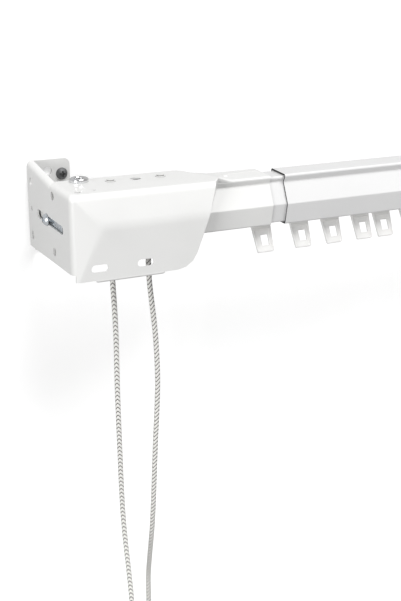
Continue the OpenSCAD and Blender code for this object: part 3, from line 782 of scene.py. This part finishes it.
@dataclass
class Assembly:
    """A group of pieces that shares the palette."""

    palette: Palette

    def put(self, obj: bpy.types.Object, body: str, slot: Slot, *nodes: str) -> None:
        """Finishes a new piece and lets it ride.

        Args:
            obj: The piece, in place.
            body: The body that it moves with.
            slot: Its finish.
            nodes: The CAD nodes that it stands for.
        """
        self.palette.paint(obj, slot)
        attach(obj, body)
        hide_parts(*nodes)
        LOG.info("%s rides on %s, finished in %s", obj.name, body, slot.value)

    def ease(self, node: str, slot: Slot, width: float) -> bpy.types.Object:
        """Puts an eased copy in a CAD node's place.

        Args:
            node: The CAD node's name.
            slot: The copy's finish.
            width: How wide its eased edges are, or 0 for none.

        Returns:
            The copy.
        """
        obj = Bench.eased(node, width)
        self.put(obj, body_of(frame["nodes"][node])[0], slot, node)
        return obj


@dataclass
class EndFitting(Assembly):
    """One end of the track: wall bracket, housing, clamp and pulley block."""

    end: End = End.LEFT
    sheet_ease: float = 0.00025
    small_ease: float = 0.00012
    housing_ease: float = 0.0

    def build(self) -> None:
        """Dresses every piece of the end."""
        word = self.end.value
        self.ease(f"bracket_{word}", Slot.HOUSING, self.sheet_ease)
        self.ease(f"housing_{word}", Slot.HOUSING, self.housing_ease)
        self.ease(f"pulley_block_{word}", Slot.PULLEY, self.sheet_ease)
        for part in ("clamp_strip", "clamp_screw", "clamp_nut"):
            self.ease(f"{part}_{word}", Slot.ZINC, self.small_ease)
        self.ease(f"wall_screws_{word}", Slot.WALL_SCREW, self.small_ease)
        self.ease(f"eyelet_{word}", Slot.CHROME, self.small_ease)
        self.ease(f"block_rivets_{word}", Slot.RIVET, self.small_ease)


@dataclass
class Pulleys(Assembly):
    """The three grooved pulleys and their axle pins."""

    ease_width: float = 0.0002

    def build(self) -> None:
        """Dresses the pulleys and pins."""
        for node in ("draw_pulley_a", "draw_pulley_b", "return_pulley"):
            self.ease(node, Slot.PULLEY, self.ease_width)
        for node in ("pulley_axles_left", "pulley_axle_right"):
            self.ease(node, Slot.ZINC, self.ease_width)


@dataclass
class Rails(Assembly):
    """The two telescoping rails."""

    ease_width: float = 0.0001

    def build(self) -> None:
        """Dresses both rails."""
        for node in ("inner_rail", "outer_rail"):
            self.ease(node, Slot.RAIL, self.ease_width)


@dataclass
class Carriers(Assembly):
    """The sliding carriers and the two master carriers."""

    each_side: int = 6
    ease_width: float = 0.0003

    def build(self) -> None:
        """Dresses every carrier."""
        for end in End:
            self.ease(f"master_carrier_{end.value}", Slot.CARRIER, self.ease_width)
            for number in range(1, self.each_side + 1):
                self.ease(f"carrier_{end.value}_{number}", Slot.CARRIER, self.ease_width)


@dataclass(frozen=True)
class BraidedTube:
    """A braided cord as a tube with the strands' relief."""

    radius: float
    sides: int
    lay: BraidLay
    relief: float
    twist: float = 0.0417
    seam: Place = (0.903, -0.429, 0.0)

    @staticmethod
    def line(points: Sequence[Vector], step: float) -> list[Vector]:
        """One smooth curve through the points of a route.

        Args:
            points: The route's points.
            step: The distance between the curve's points.

        Returns:
            The curve's points.
        """
        spans = [(b - a).length for a, b in zip(points, points[1:])]
        slopes = [(b - a) / span for a, b, span in zip(points, points[1:], spans)]
        pulls = [slopes[0]]
        for i in range(1, len(points) - 1):
            share = spans[i] / (spans[i - 1] + spans[i])
            pulls.append(slopes[i - 1] * share + slopes[i] * (1 - share))
        pulls.append(slopes[-1])
        curve = []
        for i, span in enumerate(spans):
            pieces = max(1, round(span / step))
            for k in range(pieces):
                t = k / pieces
                rest = points[i] * (1 + 2 * t) + pulls[i] * (t * span)
                reach = points[i + 1] * (3 - 2 * t) - pulls[i + 1] * ((1 - t) * span)
                curve.append(rest * (1 - t) ** 2 + reach * t**2)
        curve.append(points[-1].copy())
        return curve

    def piece(self, name: str, curve: Sequence[Vector]) -> bpy.types.Object:
        """Sweeps the braid along a curve, closed at both ends.

        Args:
            name: The piece's name.
            curve: The centres of its rings.

        Returns:
            The piece, with a UV map of turns round and pitches along.
        """
        last = len(curve) - 1
        along = 0.0
        travelled, places = [], []
        across = Vector(self.seam)
        for i, centre in enumerate(curve):
            along += (centre - curve[i - 1]).length if i else 0.0
            travelled.append(along)
            ahead = (curve[min(i + 1, last)] - curve[max(i - 1, 0)]).normalized()
            across = (across - ahead * across.dot(ahead)).normalized()
            other = ahead.cross(across)
            for k in range(self.sides):
                turn = k / self.sides
                lift = self.lay.height(turn + 0.5 / self.sides, along)
                angle = math.tau * (turn + self.twist * along)
                out = across * math.cos(angle) + other * math.sin(angle)
                places.append(centre + out * (self.radius - self.relief * (1 - lift)))
        faces = [
            (i * self.sides + k, i * self.sides + (k + 1) % self.sides,
             (i + 1) * self.sides + (k + 1) % self.sides, (i + 1) * self.sides + k)
            for i in range(last)
            for k in range(self.sides)
        ]
        faces.append(tuple(range(self.sides))[::-1])
        faces.append(tuple(range(last * self.sides, (last + 1) * self.sides)))
        mesh = bpy.data.meshes.new(name)
        mesh.from_pydata(places, [], faces)
        self.chart(mesh, travelled)
        mesh.shade_smooth()
        obj = bpy.data.objects.new(name, mesh)
        bpy.context.scene.collection.objects.link(obj)
        return obj

    def chart(self, mesh: bpy.types.Mesh, travelled: Sequence[float]) -> None:
        """Gives a tube its UV map.

        Args:
            mesh: The tube's mesh.
            travelled: How far along the cord each ring is.
        """
        chart = mesh.uv_layers.new(name="braid")
        for face in mesh.polygons:
            first = face.index % self.sides
            for corner in face.loop_indices:
                vertex = mesh.loops[corner].vertex_index
                k = vertex % self.sides
                turn = k + self.sides if k < first else k
                pitches = travelled[vertex // self.sides] / self.lay.pitch
                chart.data[corner].uv = (turn / self.sides, pitches)


@dataclass
class Cords(Assembly):
    """The cord in the track and the draw loop that hangs from the left end, with its hank."""

    diameter: float = 0.003
    run_y: float = -0.060
    run_high: float = 0.012
    run_low: float = 0.002
    pulley_r: float = 0.008
    drop_left: float = 0.0266
    drop_right: float = 0.0474
    start_z: float = -0.018
    return_in: float = 0.040
    hank_x: float = 0.0376
    hank_z: float = -0.284
    hank_run: float = 0.046
    hank_r: float = 0.009
    hank_step: float = 0.0044
    hank_layer: float = 0.0036
    hank_loops: int = 3
    hank_waist: float = 0.8
    layers: int = 4
    rings: int = 24
    fold_rings: int = 6
    lead_rings: int = 2
    lead_clear: float = 0.006
    lead_len: float = 0.012
    strand_step: float = 0.0005
    hank_point_step: float = 0.0007
    track_point_step: float = 0.001
    draw_sides: int = 20
    track_sides: int = 12
    relief: float = 0.00016
    tie_ease: float = 0.0004

    def __post_init__(self) -> None:
        """Works out the hank's radii and levels."""
        self.origin_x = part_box("housing_left")[0].x
        self.far_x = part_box("housing_right")[1].x - self.origin_x
        self.ring_step = self.hank_step / self.rings
        self.last_steps = self.rings * self.hank_loops - self.fold_rings
        self.near_r = self.hank_r - self.ring_step * self.fold_rings
        self.far_r = self.hank_r + self.ring_step * self.last_steps
        self.end_r = self.far_r - self.ring_step * (self.last_steps - self.fold_rings)
        self.top_z = self.hank_z + self.hank_run / 2 + self.far_r + self.lead_len
        self.strand_y = self.hank_layer * (self.layers + 1) / 2

    def at(self, x: float, y: float, z: float) -> Vector:
        """A place given by its distance from the left side return's outer face."""
        return Vector((self.origin_x + x, y, z))

    def left_route(self) -> list[Vector]:
        """Lays the left strand from inside the housing down to the hank.

        Returns:
            The points of its route.
        """
        x, y = self.hank_x - self.near_r, self.run_y - self.strand_y
        chosen = [
            (0.0266, -0.060, self.start_z), (0.0266, -0.060, -0.024), (0.0268, -0.060, -0.032),
            (0.0274, -0.060, -0.046), (0.0278, -0.060, -0.062), (0.0278, -0.060, -0.078),
            (0.0278, -0.060, -0.094), (0.028, -0.060, -0.112), (0.0283, -0.060, -0.132),
            (0.0286, -0.060, -0.152), (0.0289, -0.0606, -0.170), (0.0293, -0.0626, -0.188),
            (0.0296, -0.066, -0.206), (x, y, self.top_z + self.diameter), (x, y, self.top_z),
        ]
        return [self.at(*point) for point in chosen]

    def right_route(self) -> list[Vector]:
        """Lays the right strand from inside the housing down to the hank.

        Returns:
            The points of its route.
        """
        x, y = self.hank_x + self.end_r, self.run_y + self.strand_y
        chosen = [
            (0.0474, -0.060, self.start_z), (0.0474, -0.060, -0.024), (0.0478, -0.060, -0.034),
            (0.0492, -0.060, -0.048), (0.0506, -0.060, -0.062), (0.0515, -0.060, -0.078),
            (0.0518, -0.060, -0.092), (0.0512, -0.060, -0.108), (0.050, -0.060, -0.128),
            (0.049, -0.060, -0.148), (0.0483, -0.0594, -0.168), (0.0479, -0.0574, -0.188),
            (0.0477, -0.054, -0.206), (x, y, self.top_z + self.diameter), (x, y, self.top_z),
        ]
        return [self.at(*point) for point in chosen]

    def loop_place(self, phase: int, radius: float) -> tuple[float, float]:
        """A place on a loop of the hank.

        Args:
            phase: The ring's number in the loop, down the left run first.
            radius: The fold's radius.

        Returns:
            The place across and up from the hank's middle.
        """
        part, share = divmod(phase / self.fold_rings, 1)
        side = -1 if part < 2 else 1
        if part % 2 == 0:
            z = -side * self.hank_run * (0.5 - share)
            draw_in = (1 - self.hank_waist) * math.cos(math.pi * z / self.hank_run) ** 2
            return side * radius * (1 - draw_in), z
        turn = math.pi * share
        return side * radius * math.cos(turn), side * (self.hank_run / 2 + radius * math.sin(turn))

    def wound_radius(self, layer: int, steps: int) -> float:
        """Winds the layers, the even ones outwards and the odd ones inwards.

        Args:
            layer: The layer's number.
            steps: How many of its rings are laid.

        Returns:
            The fold's radius there.
        """
        grown = self.ring_step * (steps - self.fold_rings)
        if layer == 0:
            return self.hank_r + grown
        grown = max(0.0, grown)
        return self.far_r - grown if layer % 2 else self.hank_r + grown

    def climb(self, layer: int, steps: int) -> float:
        """Leads the cord from layer to layer, and in and out of the hank.

        Args:
            layer: The layer's number.
            steps: How many of its rings are laid.

        Returns:
            The share of a layer by which the cord stands off its layer's plane.
        """
        if layer == 0:
            return -max(0.0, 1 - steps / self.lead_rings)
        if layer == self.layers - 1 and steps > self.last_steps - self.lead_rings:
            return (steps - self.last_steps + self.lead_rings) / self.lead_rings
        return min(0.0, steps / self.fold_rings - 1)

    def hank(self) -> list[Vector]:
        """Winds the hank: a straight lead in, the layers of loops and a straight lead out.

        Returns:
            Its points.
        """
        high = self.top_z - self.diameter
        clear = self.hank_z + self.hank_run / 2 + self.lead_clear
        left, right = self.hank_x - self.near_r, self.hank_x + self.end_r
        points = [self.at(left, self.run_y - self.strand_y, z) for z in (high, clear)]
        last = self.layers - 1
        for layer in range(self.layers):
            plane = self.run_y + self.hank_layer * (layer - last / 2)
            count = self.last_steps + 1 if layer == last else self.rings * self.hank_loops
            for steps in range(count):
                x, z = self.loop_place(steps % self.rings, self.wound_radius(layer, steps))
                y = plane + self.hank_layer * self.climb(layer, steps)
                points.append(self.at(self.hank_x + x, y, self.hank_z + z))
        points += [self.at(right, self.run_y + self.strand_y, z) for z in (clear, high)]
        return points

    def arc(self, x: float, z: float, radius: float, start: float, stop: float) -> list[Vector]:
        """Bends the cord round a pulley.

        Args:
            x: The pulley's place along the track.
            z: Its level.
            radius: The bend's radius.
            start: The angle in degrees at which the bend starts.
            stop: The angle at which it ends.

        Returns:
            Points on the upright arc.
        """
        first, span = math.radians(start), math.radians(stop - start)
        count = round(abs(span) * radius / self.track_point_step)
        turns = [first + span * k / count for k in range(count + 1)]
        return [
            self.at(x + radius * math.cos(turn), self.run_y, z + radius * math.sin(turn))
            for turn in turns
        ]

    def straight(self, start: Vector, stop: Vector) -> list[Vector]:
        """Points on a straight run, without its last one."""
        count = round((stop - start).length / self.track_point_step)
        return [start.lerp(stop, k / count) for k in range(count)]

    def track_route(self) -> list[Vector]:
        """Lays the cord in the track: round one pulley, along, round the return pulley and back.

        Returns:
            The points of its route.
        """
        middle = (self.run_high + self.run_low) / 2
        return_r = (self.run_high - self.run_low) / 2
        r = self.pulley_r
        here = self.at(self.drop_left, self.run_y, self.start_z)
        there = self.at(self.drop_right, self.run_y, self.start_z)
        bends = [
            self.arc(self.drop_left + r, self.run_high - r, r, 180, 90),
            self.arc(self.far_x - self.return_in, middle, return_r, 90, -90),
            self.arc(self.drop_right + r, self.run_low - r, r, 90, 180),
        ]
        route = []
        for bend in bends:
            route += [*self.straight(here, bend[0]), *bend[:-1]]
            here = bend[-1]
        return [*route, *self.straight(here, there), there]

    def build(self) -> None:
        """Makes the draw loop with its hank, the band on the hank and the cord in the track."""
        self.draw_loop(self.ease("cord_tie", Slot.TIE, self.tie_ease))
        self.track_loop()

    def draw_loop(self, tie: bpy.types.Object) -> None:
        """Makes the draw cord as one piece, from the left pulley round the hank to the right one.

        Args:
            tie: The band that holds the hank; not used.
        """
        tube = BraidedTube(self.diameter / 2, self.draw_sides, self.palette.lay, self.relief)
        left = BraidedTube.line(self.left_route(), self.strand_step)
        right = BraidedTube.line(self.right_route(), self.strand_step)
        hank = BraidedTube.line([left[-1], *self.hank(), right[-1]], self.hank_point_step)
        curve = [*left, *hank[1:-1], *right[::-1]]
        obj = tube.piece("draw_cord", curve)
        self.put(obj, "left_end", Slot.CORD, "draw_cord_left", "draw_cord_right", "cord_hank")
        length = sum((b - a).length for a, b in zip(curve, curve[1:]))

    def track_loop(self) -> None:
        """Makes the cord inside the track, which lengthens with the telescope."""
        tube = BraidedTube(self.diameter / 2, self.track_sides, self.palette.lay, self.relief)
        obj = tube.piece("track_loop", self.track_route())
        self.palette.paint(obj, Slot.CORD)
        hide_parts("track_cord")
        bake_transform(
            obj,
            "left_end",
            "right_end",
            start=self.at(self.drop_right + 2 * self.pulley_r, self.run_y, self.run_low),
            end=self.at(self.far_x - 2 * self.return_in, self.run_y, self.run_low),
        )
        LOG.info("track_loop blends from left_end to right_end")


@dataclass(frozen=True)
class Lamp:
    """A square soft light: where it hangs, what it points at, its side and its watts."""

    name: str
    place: Place
    aim: Place
    size: float
    power: float

    def hang(self) -> bpy.types.Object:
        """Hangs the light.

        Returns:
            The light.
        """
        turn = (Vector(self.aim) - Vector(self.place)).to_track_quat("-Z", "Y").to_euler()
        bpy.ops.object.light_add(type="AREA", location=self.place, rotation=turn)
        light = Bench.named(self.name)
        light.data.size = self.size
        light.data.energy = self.power
        return light

    def hang_behind(self, wall: bpy.types.Object) -> None:
        """Hangs the light so that it shines through a wall on what hangs in front of it.

        Args:
            wall: The wall, which casts no shadow from this light.
        """
        light = self.hang()
        through = bpy.data.collections.new("light_passes")
        through.objects.link(wall)
        through.collection_objects[0].light_linking.link_state = "EXCLUDE"
        light.light_linking.blocker_collection = through
        light.visible_camera = False
        light.visible_glossy = False


@dataclass
class Studio:
    """The wall and floor, the lights, the world and the camera."""

    camera_at: Place = (-0.1765, -0.568, 0.1424)
    camera_turn: Place = (71.2, 0.0, -25.4)
    lens: float = 64.2
    sensor: float = 36.0
    key: Lamp = Lamp("key_light", (0.85, -1.85, 3.55), (0.15, 0.0, 0.0), 2.2, 145.0)
    fill: Lamp = Lamp("fill_light", (-3.8, -2.3, 0.3), (0.1, 0.0, 0.0), 2.4, 109.0)
    back: Lamp = Lamp("back_light", (1.1, 3.2, -1.5), (0.35, 0.0, 0.0), 1.6, 62.0)
    wall_gap: float = 0.0005
    wall_half: float = 3.0
    wall_height: float = 2.4
    floor_drop: float = 0.3
    floor_reach: float = 3.0
    cove: float = 0.25
    cove_steps: int = 12
    wall_colour: Colour = (0.9, 0.9, 0.9)
    wall_roughness: float = 0.9
    bounce_colour: Colour = (0.3, 0.3, 0.3)
    glow: float = 0.31
    sky: float = 0.43

    def build(self) -> None:
        """Sets up everything round the object."""
        wall = self.backdrop()
        self.world()
        self.key.hang()
        self.fill.hang()
        self.back.hang_behind(wall)
        self.camera()
        bpy.context.scene.view_settings.view_transform = "Standard"

    def backdrop(self) -> bpy.types.Object:
        """Makes a wall with a floor that curves out of it, which is clear from behind.

        Returns:
            The backdrop.
        """
        floor_z = CAD_BOX[0][2] - self.floor_drop
        bpy.ops.object.select_all(action="DESELECT")
        bpy.ops.mesh.primitive_plane_add(size=1)
        obj = Bench.named("backdrop")
        bpy.ops.object.mode_set(mode="EDIT")
        bpy.ops.transform.resize(value=(2 * self.wall_half, self.floor_reach, 1))
        bpy.ops.transform.translate(value=(0, self.wall_gap - self.floor_reach / 2, floor_z))
        self.pick_edges(obj, self.at_wall)
        bpy.ops.mesh.extrude_region_move(TRANSFORM_OT_translate={"value": (0, 0, self.wall_height)})
        self.pick_edges(obj, lambda place: self.at_wall(place) and self.at_level(place, floor_z))
        bpy.ops.mesh.bevel(offset=self.cove, segments=self.cove_steps, affect="EDGES")
        bpy.ops.object.mode_set(mode="OBJECT")
        bpy.ops.object.shade_smooth()
        obj.data.materials.append(self.backdrop_paint())
        return obj

    def at_wall(self, place: Vector) -> bool:
        """Tells whether a place is in the wall's plane."""
        return abs(place.y - self.wall_gap) < self.wall_gap

    def at_level(self, place: Vector, level: float) -> bool:
        """Tells whether a place is at a level."""
        return abs(place.z - level) < self.wall_gap

    @staticmethod
    def pick_edges(obj: bpy.types.Object, test: Callable[[Vector], bool]) -> None:
        """Selects edges in edit mode.

        Args:
            obj: The object.
            test: What an edge's middle has to pass.
        """
        bpy.ops.mesh.select_mode(type="EDGE")
        bpy.ops.mesh.select_all(action="DESELECT")
        mesh = bmesh.from_edit_mesh(obj.data)
        for edge in mesh.edges:
            edge.select_set(test((edge.verts[0].co + edge.verts[1].co) / 2))
        mesh.select_flush_mode()
        bmesh.update_edit_mesh(obj.data)

    def backdrop_paint(self) -> bpy.types.Material:
        """Mixes a white paint that glows a little for the camera and is clear from behind.

        Returns:
            The material.
        """
        shader = Shader("backdrop_white")
        shader.coat(base_color=self.wall_colour, roughness=self.wall_roughness)
        glow = shader.add("ShaderNodeEmission", inputs={"Color": WHITE, "Strength": self.glow})
        clear = shader.add("ShaderNodeBsdfTransparent")
        path = shader.add("ShaderNodeLightPath")
        sight = Signal(shader, path.outputs["Is Camera Ray"])
        shiny = Signal(shader, path.outputs["Is Glossy Ray"])
        through = Signal(shader, path.outputs["Is Transmission Ray"])
        seeing = sight.most(shiny).most(through)
        behind = Signal(shader, shader.add("ShaderNodeNewGeometry").outputs["Backfacing"])
        matt = shader.add("ShaderNodeBsdfDiffuse", inputs={"Color": self.bounce_colour})
        plain = shader.add("ShaderNodeMixShader", inputs={0: sight, 1: matt, 2: shader.surface})
        bright = shader.add("ShaderNodeAddShader", inputs={0: plain, 1: glow})
        front = shader.add("ShaderNodeMixShader", inputs={0: seeing, 1: plain, 2: bright})
        seen = shader.add("ShaderNodeMixShader", inputs={0: behind, 1: front, 2: clear})
        shader.feed(shader.output.inputs["Surface"], seen)
        return shader.material

    def world(self) -> None:
        """An even pale sky, white where the camera sees it."""
        world = bpy.data.worlds.new("studio")
        bpy.context.scene.world = world
        world.use_nodes = True
        nodes = NodeTree(world.node_tree)
        sight = nodes.add("ShaderNodeLightPath").outputs["Is Camera Ray"]
        light = nodes.add("ShaderNodeBackground", inputs={"Color": WHITE, "Strength": self.sky})
        seen = nodes.add("ShaderNodeBackground", inputs={"Color": WHITE})
        mix = nodes.add("ShaderNodeMixShader", inputs={0: sight, 1: light, 2: seen})
        nodes.add("ShaderNodeOutputWorld", inputs={"Surface": mix})

    def camera(self) -> None:
        """Sets the camera at the photograph's viewing angle."""
        turn = [math.radians(angle) for angle in self.camera_turn]
        bpy.ops.object.camera_add(location=self.camera_at, rotation=turn)
        camera = Bench.named("camera")
        camera.data.lens = self.lens
        camera.data.sensor_width = self.sensor
        bpy.context.scene.camera = camera


def main() -> None:
    """Builds the whole track and the studio round it."""
    logging.basicConfig(level=logging.INFO, format="%(name)s: %(message)s")
    palette = Palette()
    Studio().build()
    Cords(palette).build()
    for end in End:
        EndFitting(palette, end).build()
    Rails(palette).build()
    Pulleys(palette).build()
    Carriers(palette).build()


if __name__ == "__main__":
    main()
